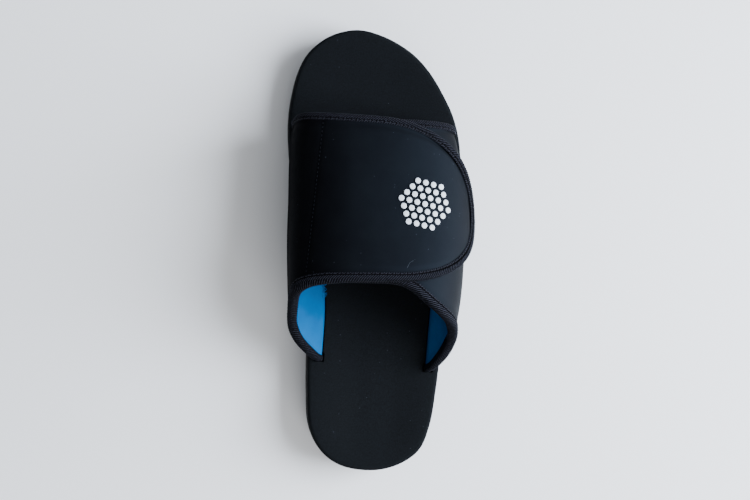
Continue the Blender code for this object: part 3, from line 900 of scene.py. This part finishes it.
strap_piece("medial_strap_flap", FLAP, (200, 72, 2), from_seam)

# ---------------------------------------------------------------- hook and loop tapes
# Two woven nylon tapes sewn to the flap and the band and pressed together. They are smaller than the
# flap, so its border stands clear of the band.

FASTENER_INSET = 0.0090
FASTENER_START = 0.455
FASTENER_SPAN = 0.240

# Black nylon hooks and loops, seen from the side as a rough pile with noise of 1.2 mm
nylon, tree, shader = surface("hook_and_loop_nylon", "09090b", 0.8, 1.2)
grain(tree, shader, ((0.0012, 0.8),), 0.0004)


def fastener_point(around, along):
    """A point midway between the band and the flap."""
    lift = 0.5 * (STRAP_WALL + FASTENER_THICK)
    return last_point(around, along) + facing(last_point, around, along) * lift


def fastener_shape(length, width, depth):
    around = FASTENER_START + FASTENER_SPAN * length
    inwards = FASTENER_INSET / LENGTH
    front = min(FLAP.edge(around, 0), BAND.edge(around, 0)) - inwards
    rear = max(FLAP.edge(around, 1), BAND.edge(around, 1)) + inwards
    along = front + (rear - front) * width
    normal = facing(fastener_point, around, along)
    return fastener_point(around, along) + normal * (depth - 0.5) * FASTENER_THICK


tapes = sheet_block("hook_loop_tapes", (24, 16, 1))
bend(tapes, fastener_shape)
tapes.data.materials.append(nylon)
shade(tapes, 40)
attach(tapes, "root")
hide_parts("upper")

# ---------------------------------------------------------------- bindings
# Ribbed woven tape folded over the straps' edges and sewn down. Its slanting ribs are 1.55 mm apart and
# catch the light one by one. The stitches pinch the tape near its hem, and it puffs up between them.

RIB_PITCH = 0.00155
RIB_DEPTH = 0.00035
RIB_SLANT = 0.9
RIB_WAVE = 0.31416
THREAD_SIZE = 0.0005
# How thick the tape is, how far it stays off the strap, and how wide it is when it lies flat
TAPE_PLUMP = 0.0013
TAPE_FLAT = 0.00090
TAPE_CLEAR = 0.00008
TAPE_ACROSS = 0.0130
# Where the ribs take their slant, and where the tape comes out of the slot, as distances from its ends
SLANT_START = (0.0, 0.020)
TAPE_FREE = (0.008, 0.018)
# Which share of the width is the fold round the edge, and how round the fold is inside
NOSE_SHARE = 0.32
INNER_NOSE = 0.0004
# The row of stitches: how far it lies inside the hem, its pitch, and how widely it shapes the tape
HEM = 0.0013
STITCH_PITCH = 0.0025
STITCH_INSET = 0.0008
HEM_ROUND = 0.0006
HEM_ROUND_BENEATH = 0.0009
PINCH_REACH = 0.00055
RISE_REACH = 0.0011
GROOVE_REACH = 0.00038
PULL_REACH = 0.0016
# Where the painted shade of the stitched groove lies across the flat tape, and how fast it ends
DIP_MIDDLE = 0.00155
DIP_END = (0.0002, 0.0007)

# Black polyester threads of 0.5 mm over cords that make the ribs. The colour paints a highlight on the tops
# of the ribs, painted shade in their hollows, a little painted shade on the nose and beneath, and painted
# shade in the stitched groove.
tape_cloth, tree, shader = surface("ribbed_binding_tape", "0a0a0d", 0.7, 1.1)
flat = add(tree, "ShaderNodeUVMap").outputs["UV"]
inputs = {"Vector": flat, "Scale": RIB_WAVE / RIB_PITCH, "Phase Offset": math.pi, "Distortion": 0.3}
rib_bands = add(tree, "ShaderNodeTexWave", inputs).outputs["Fac"]
threads = mottle(tree, flat, THREAD_SIZE, 2.0)
tree.links.new(relief(tree, threads, 0.5, 0.00010), shader.inputs["Normal"])
over_tape = add(tree, "ShaderNodeSeparateXYZ", {"Vector": flat}).outputs["Y"]
off_dip = reckon(tree, "ABSOLUTE", reckon(tree, "SUBTRACT", over_tape, DIP_MIDDLE))
groove_painted_shade = fade(tree, off_dip, DIP_END, (0.1, 1.0))
fold_painted_shade = fade(tree, over_tape, (0.0030, 0.0060), (1.0, 0.8))
# Painted highlight on the rib tops and painted shade in their hollows, the groove, the nose and beneath
rib_painted_light = reckon(tree, "POWER", rib_bands, 2.0)
painted_tape_light = reckon(tree, "MULTIPLY", rib_painted_light, reckon(tree, "MULTIPLY", groove_painted_shade, fold_painted_shade))
tint(tree, shader, reckon(tree, "MULTIPLY", painted_tape_light, threads), "000001", "393b45", 0.20, 0.58)

# An edge is walked in this many steps from the strap's root to its tip, and its way is taken this far ahead
ROUTE_STEPS = 300
LOOK_AHEAD = 0.0015


def place_off(form, place, direction, distance):
    """The place on a surface that lies a distance away from another in a direction."""
    across, ahead = paces(form, *place)
    square = across.dot(across) * ahead.dot(ahead) - across.dot(ahead) ** 2
    a, b = direction.dot(across), direction.dot(ahead)
    return (
        place[0] + distance * (a * ahead.dot(ahead) - b * across.dot(ahead)) / square,
        place[1] + distance * (b * across.dot(across) - a * across.dot(ahead)) / square,
    )


class Edge:
    """A strap's free edge as one run, from its front end in the slot, round the tip, to its rear end."""

    def __init__(self, strap):
        self.strap = strap
        coarse = [strap.column(i / ROUTE_STEPS) for i in range(ROUTE_STEPS + 1)]
        self.route = [(around, strap.edge(around, 0)) for around in coarse]
        self.route += [(around, strap.edge(around, 1)) for around in reversed(coarse[:-1])]
        path = [strap.form(*place) for place in self.route]
        self.travelled = [0.0]
        for a, b in zip(path, path[1:]):
            self.travelled.append(self.travelled[-1] + (b - a).length)
        self.length = self.travelled[-1]

    def place(self, share):
        """Around and along, for a share of the run."""
        target = min(max(share, 0.0), 1.0) * self.length
        low, high = 0, len(self.travelled) - 1
        while high - low > 1:
            middle = (low + high) // 2
            if self.travelled[middle] <= target:
                low = middle
            else:
                high = middle
        t = (target - self.travelled[low]) / max(self.travelled[high] - self.travelled[low], 1e-9)
        a, b = self.route[low], self.route[high]
        return a[0] + (b[0] - a[0]) * t, a[1] + (b[1] - a[1]) * t

    def frame_at(self, share, inside):
        """Points and normals of the surface at some distances inside the edge, and the way out."""
        form = self.strap.form
        step = LOOK_AHEAD / self.length
        ahead = form(*self.place(share + step)) - form(*self.place(share - step))
        place = self.place(share)
        normal = facing(form, *place)
        outward = normal.cross(ahead).normalized()
        if self.strap.root > self.strap.tip:
            outward.negate()
        found = []
        for distance in inside:
            spot = place_off(form, place, outward, -distance) if distance else place
            found.append((form(*spot), facing(form, *spot)))
        return found, outward


def binding_piece(name, strap, node, sizes):
    """Tape folded over a strap's edge, from its hem on the outer face, round the nose, to the hem beneath.
    The rows of sizes are the share of the run, then the tape's width on the outer face, its width beneath,
    how far it reaches past the strap's edge, and how far it stands off beneath."""
    run = Edge(strap)
    ribs = 4 * round(run.length / RIB_PITCH / 4)
    count = 4 * ribs
    spacing = run.length / count
    stations = []
    for i in range(count + 1):
        here = [through(sizes, i / count, k) for k in (1, 2, 3, 4)]
        inside = [here[0] * k / 3 for k in range(4)] + [here[1] * k / 3 for k in range(4)]
        stations.append((run.frame_at(i / count, inside), here))
    stitches = round(run.length / STITCH_PITCH)
    slant = RIB_SLANT if strap.root < strap.tip else -RIB_SLANT

    def between(exact):
        """The surface's points and normals, the way out and the tape's sizes between two stations."""
        i = min(int(exact), count - 1)
        t = exact - i
        (low, out_low), sizes_low = stations[i]
        (high, out_high), sizes_high = stations[i + 1]
        spots = [(a[0].lerp(b[0], t), a[1].lerp(b[1], t)) for a, b in zip(low, high)]
        here = [a + (b - a) * t for a, b in zip(sizes_low, sizes_high)]
        return spots, out_low.lerp(out_high, t).normalized(), *here

    def shape(length, width, depth):
        from_end = min(length, 1 - length) * run.length
        shift = slant * ramp(from_end, *SLANT_START) * (width - 0.5) * TAPE_ACROSS / spacing
        exact = min(max(length * count + shift, 0.0), count)
        spots, outward, wide, wide_beneath, past_edge, under = between(exact)
        free = ramp(from_end, *TAPE_FREE)
        side = 1 if width < 0.5 else -1
        if side < 0:
            spots, wide = spots[4:], wide_beneath
        fold = abs(2 * width - 1)
        body = TAPE_FLAT + ((TAPE_PLUMP if side > 0 else under) - TAPE_FLAT) * free
        rib = RIB_DEPTH * (0.5 + 0.5 * math.cos(0.5 * math.pi * length * count)) - RIB_DEPTH
        base = 0.5 * STRAP_WALL
        if fold > NOSE_SHARE:
            far = (fold - NOSE_SHARE) / (1 - NOSE_SHARE)
            from_hem = wide * (1 - far)
            k = min(int(far * 3), 2)
            t = far * 3 - k
            point = spots[k][0].lerp(spots[k + 1][0], t)
            normal = spots[k][1].lerp(spots[k + 1][1], t).normalized()
            if depth < 0.5:
                return point + normal * (base + TAPE_CLEAR) * side
            if side > 0:
                phase = exact / count * stitches
                pinch = bell((phase % 1.0 - 0.5) * STITCH_PITCH, PINCH_REACH)
                hem = 0.30 + 0.45 * smooth(from_hem / HEM_ROUND) * (1 - 0.6 * pinch)
                rise = hem + (1 - hem) * smooth((from_hem - HEM) / RISE_REACH)
                groove = (0.25 + 0.30 * pinch) * bell(from_hem - HEM, GROOVE_REACH)
                pulled = 0.25 * pinch * bell(from_hem - HEM, PULL_REACH)
                height = body * (rise - groove - pulled) + rib * rise
            else:
                height = body * (0.35 + 0.65 * smooth(from_hem / HEM_ROUND_BENEATH)) + 0.7 * rib
            return point + normal * (base + max(height, 2 * TAPE_CLEAR)) * side
        angle = 0.5 * math.pi * (1 - fold / NOSE_SHARE)
        point, normal = spots[0]
        if depth < 0.5:
            nose, reach = INNER_NOSE, base + TAPE_CLEAR
        else:
            nose, reach = BINDING_NOSE + (past_edge - BINDING_NOSE) * free + rib, base + body + rib
        return point + outward * nose * math.sin(angle) + normal * reach * math.cos(angle) * side

    def unwrap(length, width, depth):
        return (length * ribs * RIB_PITCH, width * TAPE_ACROSS)

    made = sheet_block(name, (count, 32, 1))
    bend(made, shape, unwrap)
    made.data.materials.append(tape_cloth)
    shade(made, 60)
    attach(made, "root")
    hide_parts(node)
    return run


# The two tapes' sizes along their runs
FLAP_TAPE = (
    (0.00, 0.0032, 0.0032, 0.0015, 0.0014),
    (0.12, 0.0032, 0.0032, 0.0015, 0.0014),
    (0.28, 0.0032, 0.0032, 0.0016, 0.0009),
    (0.42, 0.0043, 0.0043, 0.0014, 0.0009),
    (0.60, 0.0043, 0.0043, 0.0014, 0.0009),
    (0.70, 0.0037, 0.0037, 0.0018, 0.0009),
    (0.78, 0.0040, 0.0050, 0.0034, 0.0018),
    (0.82, 0.0040, 0.0060, 0.0044, 0.0026),
    (0.86, 0.0038, 0.0052, 0.0034, 0.0024),
    (0.90, 0.0038, 0.0036, 0.0022, 0.0018),
    (0.95, 0.0037, 0.0030, 0.0018, 0.0016),
    (1.00, 0.0036, 0.0030, 0.0014, 0.0014),
)
BAND_TAPE = (
    (0.00, 0.0034, 0.0034, 0.0016, 0.0014),
    (0.40, 0.0034, 0.0034, 0.0016, 0.0012),
    (0.60, 0.0042, 0.0042, 0.0019, 0.0013),
    (0.79, 0.0042, 0.0044, 0.0020, 0.0018),
    (0.85, 0.0042, 0.0068, 0.0022, 0.0026),
    (0.90, 0.0042, 0.0056, 0.0020, 0.0020),
    (0.95, 0.0042, 0.0038, 0.0018, 0.0018),
    (1.00, 0.0038, 0.0034, 0.0014, 0.0014),
)
flap_edge = binding_piece("flap_edge_tape", FLAP, "flap_binding", FLAP_TAPE)
band_edge = binding_piece("band_edge_tape", BAND, "band_binding", BAND_TAPE)

# ---------------------------------------------------------------- stitching
# Dark polyester thread. One row holds each tape down close to its hem, and one row joins the flap's panel
# near the inner side, with a near-black dot of painted shade at the needle hole before each stitch. A stitch
# is a short plump loop, half sunk in.

# Each stitch's or hole's length and width
HEM_STITCH = (0.0015, 0.00055)
PANEL_STITCH = (0.0015, 0.00065)
NEEDLE_HOLE = (0.0008, 0.00065)
# Which share of the tapes is stitched, and how high the stitches lie over the strap there
STITCHED = (0.02, 0.98)
STITCH_HEIGHT = 0.00062
# The panel's row: its count of stitches, how high stitches and holes lie, and a short step along it
PANEL_COUNT = 37
PANEL_STITCH_HEIGHT = -0.00020
NEEDLE_HOLE_HEIGHT = -0.00030
PANEL_STEP = (0.0001, 0.0009)
# Between these places around the foot a surface is searched for a point of the plan
SEARCHED = (0.12, 0.88)
THREAD_GRAIN = 0.0003

# Dark grey spun thread with a soft twist; part of its grey is a painted highlight for the sheen it catches
hem_thread_painted_sheen, tree, shader = surface("spun_hem_thread_painted_sheen", "23242b", 0.5, 1.15)
grain(tree, shader, ((THREAD_GRAIN, 0.6),), 0.00006)
# Black thread, a little smoother
panel_thread, tree, shader = surface("polyester_panel_thread", "0b0d12", 0.5, 1.12)
grain(tree, shader, ((THREAD_GRAIN, 0.6),), 0.00006)
# Painted shade: near-black dots for the shade where the needle went through
needle_hole_painted_shade, tree, shader = surface("shaded_needle_hole", "010102", 0.9, 1.02)
grain(tree, shader, ((THREAD_GRAIN, 0.3),), 0.00006)


def laid(point, first, second, third):
    """The matrix of a copy that lies at a point, with its three axes turned these ways."""
    return Matrix.Translation(point) @ Matrix((first, second, third)).transposed().to_4x4()


def strew(model, places, name):
    """Copies a model to each place, joins the copies into one piece, and removes the model."""
    copies = []
    for place in places:
        made = model.copy()
        made.data = model.data.copy()
        made.matrix_world = place
        bpy.context.scene.collection.objects.link(made)
        copies.append(made)
    bpy.data.objects.remove(model, do_unlink=True)
    object_mode_only(copies[0])
    for made in copies:
        made.select_set(True)
    bpy.ops.object.join()
    bpy.ops.object.transform_apply(location=True, rotation=True, scale=True)
    made = bpy.context.object
    made.name = name
    return made


def stitch_row(name, spots, size, thread):
    """Copies one stitch to each spot, given as point, normal and the way the row runs."""
    bpy.ops.object.select_all(action="DESELECT")
    bpy.ops.mesh.primitive_uv_sphere_add(segments=8, ring_count=6, radius=0.5)
    stitch = bpy.context.object
    bpy.ops.object.mode_set(mode="EDIT")
    bpy.ops.mesh.select_all(action="SELECT")
    bpy.ops.transform.resize(value=(size[1], size[1], size[0]))
    bpy.ops.object.mode_set(mode="OBJECT")
    places = []
    for point, normal, ahead in spots:
        side = ahead.cross(normal).normalized()
        up = side.cross(ahead).normalized()
        places.append(laid(point, side, -up, ahead.normalized()))
    row = strew(stitch, places, name)
    row.data.materials.append(thread)
    bpy.ops.object.shade_smooth()
    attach(row, "root")


def edge_spots(run, sizes):
    """A stitch in each dip of a tape, but for its ends in the slots."""
    stitches = round(run.length / STITCH_PITCH)
    found = []
    for i in range(stitches):
        share = (i + 0.5) / stitches
        if STITCHED[0] < share < STITCHED[1]:
            (spot,), outward = run.frame_at(share, (through(sizes, share, 1) - STITCH_INSET,))
            point, normal = spot
            found.append((point + normal * (0.5 * STRAP_WALL + STITCH_HEIGHT), normal, normal.cross(outward)))
    return found


stitch_row("flap_edge_stitches", edge_spots(flap_edge, FLAP_TAPE), HEM_STITCH, hem_thread_painted_sheen)
stitch_row("band_edge_stitches", edge_spots(band_edge, BAND_TAPE), HEM_STITCH, hem_thread_painted_sheen)


def over(form, x, y):
    """The place on a surface over the foot that lies straight above a point of the plan."""
    along = share_along(y)
    for _ in range(3):
        low, high = SEARCHED
        for _ in range(24):
            middle = 0.5 * (low + high)
            if form(middle, along).x > x:
                low = middle
            else:
                high = middle
        along += (form(low, along).y - y) / LENGTH
    return low, along


def panel_spots(offset, height):
    """Spots along the row that crosses the flap, moved on by a share of its pitch, at a height."""
    found = []
    for i in range(PANEL_COUNT):
        x, y = Vector(SEAM_FRONT).lerp(Vector(SEAM_REAR), (i + offset) / PANEL_COUNT)
        place = over(flap_point, x, y)
        ahead = flap_point(*over(flap_point, x + PANEL_STEP[0], y + PANEL_STEP[1])) - flap_point(*place)
        normal = facing(flap_point, *place)
        found.append((flap_point(*place) + normal * (0.5 * STRAP_WALL + height), normal, ahead))
    return found


stitch_row("flap_panel_stitches", panel_spots(0.5, PANEL_STITCH_HEIGHT), PANEL_STITCH, panel_thread)
# Painted shade: a near-black dot between each pair of stitches
stitch_row("flap_needle_hole_painted_shade", panel_spots(0.0, NEEDLE_HOLE_HEIGHT), NEEDLE_HOLE, needle_hole_painted_shade)

# ---------------------------------------------------------------- fray and lint
# Where the lining meets the medial slot, a few of its knit ends have worn loose and curl over the slot's
# lip. One fine light hair has settled on the flap.

# The loose ends: where they lie along the shoe, how many, their length and width, how they stray up and
# down, swing about and rise from the lining, and how far they stand off it and out
FRAY_ALONG = (0.434, 0.395)
FRAY_ENDS = 16
FRAY_SIZE = (0.0022, 0.0005)
FRAY_STRAY = 0.006
FRAY_SWING = 1.3
FRAY_RISE = (0.35, 0.3)
FRAY_CLEAR = 0.0003
FRAY_OUT = 0.0005
# The hair: its way in plan, its short straight pieces, and how far it stands off the flap
HAIR_WAY = ((-0.0144, -0.0847), (-0.0160, -0.0876), (-0.0188, -0.0893), (-0.0225, -0.0897))
HAIR_PIECES = 6
HAIR_SIZE = (0.0010, 0.00016)
HAIR_CLEAR = 0.0002


def fray_spots():
    """A spot for each loose end, which three sines of its number turn this way and that."""
    found = []
    for i in range(FRAY_ENDS):
        along = FRAY_ALONG[0] + (FRAY_ALONG[1] - FRAY_ALONG[0]) * i / (FRAY_ENDS - 1)
        place = (SLOT_END_SHARE + FRAY_STRAY * math.sin(2.4 * i), along)
        normal = facing(flap_point, *place)
        swing = FRAY_SWING * math.sin(3.7 * i)
        rise = FRAY_RISE[0] + FRAY_RISE[1] * math.cos(5.1 * i)
        ahead = Vector((-math.cos(swing), math.sin(swing), rise)).normalized()
        point = flap_point(*place) - normal * (0.5 * STRAP_WALL + FRAY_CLEAR) + ahead * FRAY_OUT
        found.append((point, normal, ahead))
    return found


def hair_spots():
    """The hair's pieces along its way over the flap."""
    found = []
    for (x, y), (x_next, y_next) in zip(HAIR_WAY, HAIR_WAY[1:]):
        stops = []
        for k in range(HAIR_PIECES + 1):
            x_here = x + (x_next - x) * k / HAIR_PIECES
            y_here = y + (y_next - y) * k / HAIR_PIECES
            stops.append(over(flap_point, x_here, y_here))
        for here, there in zip(stops, stops[1:]):
            normal = facing(flap_point, *here)
            ahead = flap_point(*there) - flap_point(*here)
            found.append((flap_point(*here) + normal * (0.5 * STRAP_WALL + HAIR_CLEAR), normal, ahead))
    return found


# The ends are of the lining's own knit, and the hair is fine, light and slightly glossy
hair, tree, shader = surface("loose_light_hair", "464c54", 0.6, 1.15)
grain(tree, shader, ((THREAD_GRAIN, 0.3),), 0.00002)
stitch_row("lining_fray", fray_spots(), FRAY_SIZE, lining)
stitch_row("settled_hair", hair_spots(), HAIR_SIZE, hair)

# ---------------------------------------------------------------- motif
# A plain hexagon of round dots near the flap's end, printed in thick silver-white rubber ink. Each dot has
# a soft rounded rim and a slightly uneven satin top.

DOT_WIDTH = 0.0036
DOT_THICK = 0.0005
DOT_PITCH = 0.0050
DOT_ROUND = 0.00018
DOT_CLEAR = 0.0001
MOTIF_MIDDLE = (-0.0262, -0.1235)
MOTIF_TILT = -14
# Rows of dots on each side of the middle row
MOTIF_ROWS = 3

# Silver-white screen-printed rubber ink, uneven at 1.2 mm
ink, tree, shader = surface("silver_white_rubber_print", "c6ccd2", 0.45, 1.37)
cloud, _ = grain(tree, shader, ((0.0012, 0.2),), 0.00008)
tint(tree, shader, cloud, "bcc3ca", "d3d9de")

bpy.ops.object.select_all(action="DESELECT")
bpy.ops.mesh.primitive_cylinder_add(vertices=32, radius=0.5 * DOT_WIDTH, depth=DOT_THICK)
dot = bpy.context.object
apply_modifier(dot, "BEVEL", width=DOT_ROUND, segments=3, limit_method="ANGLE", angle_limit=EDGE_ANGLE)
places = []
turn = Matrix.Rotation(math.radians(MOTIF_TILT), 2)
for row in range(-MOTIF_ROWS, MOTIF_ROWS + 1):
    missing = abs(row)
    for column in range(2 * MOTIF_ROWS + 1 - missing):
        across = (column - 0.5 * (2 * MOTIF_ROWS - missing)) * DOT_PITCH
        down = row * DOT_PITCH * math.sqrt(0.75)
        plan = Vector(MOTIF_MIDDLE) + turn @ Vector((across, down))
        place = over(flap_point, *plan)
        point, normal = flap_point(*place), facing(flap_point, *place)
        side = normal.cross(Vector((0.0, 1.0, 0.0))).normalized()
        middle = point + normal * (0.5 * STRAP_WALL + DOT_CLEAR)
        places.append(laid(middle, side, normal.cross(side), normal))
motif = strew(dot, places, "printed_dots")
motif.data.materials.append(ink)
shade(motif, 40)
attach(motif, "root")
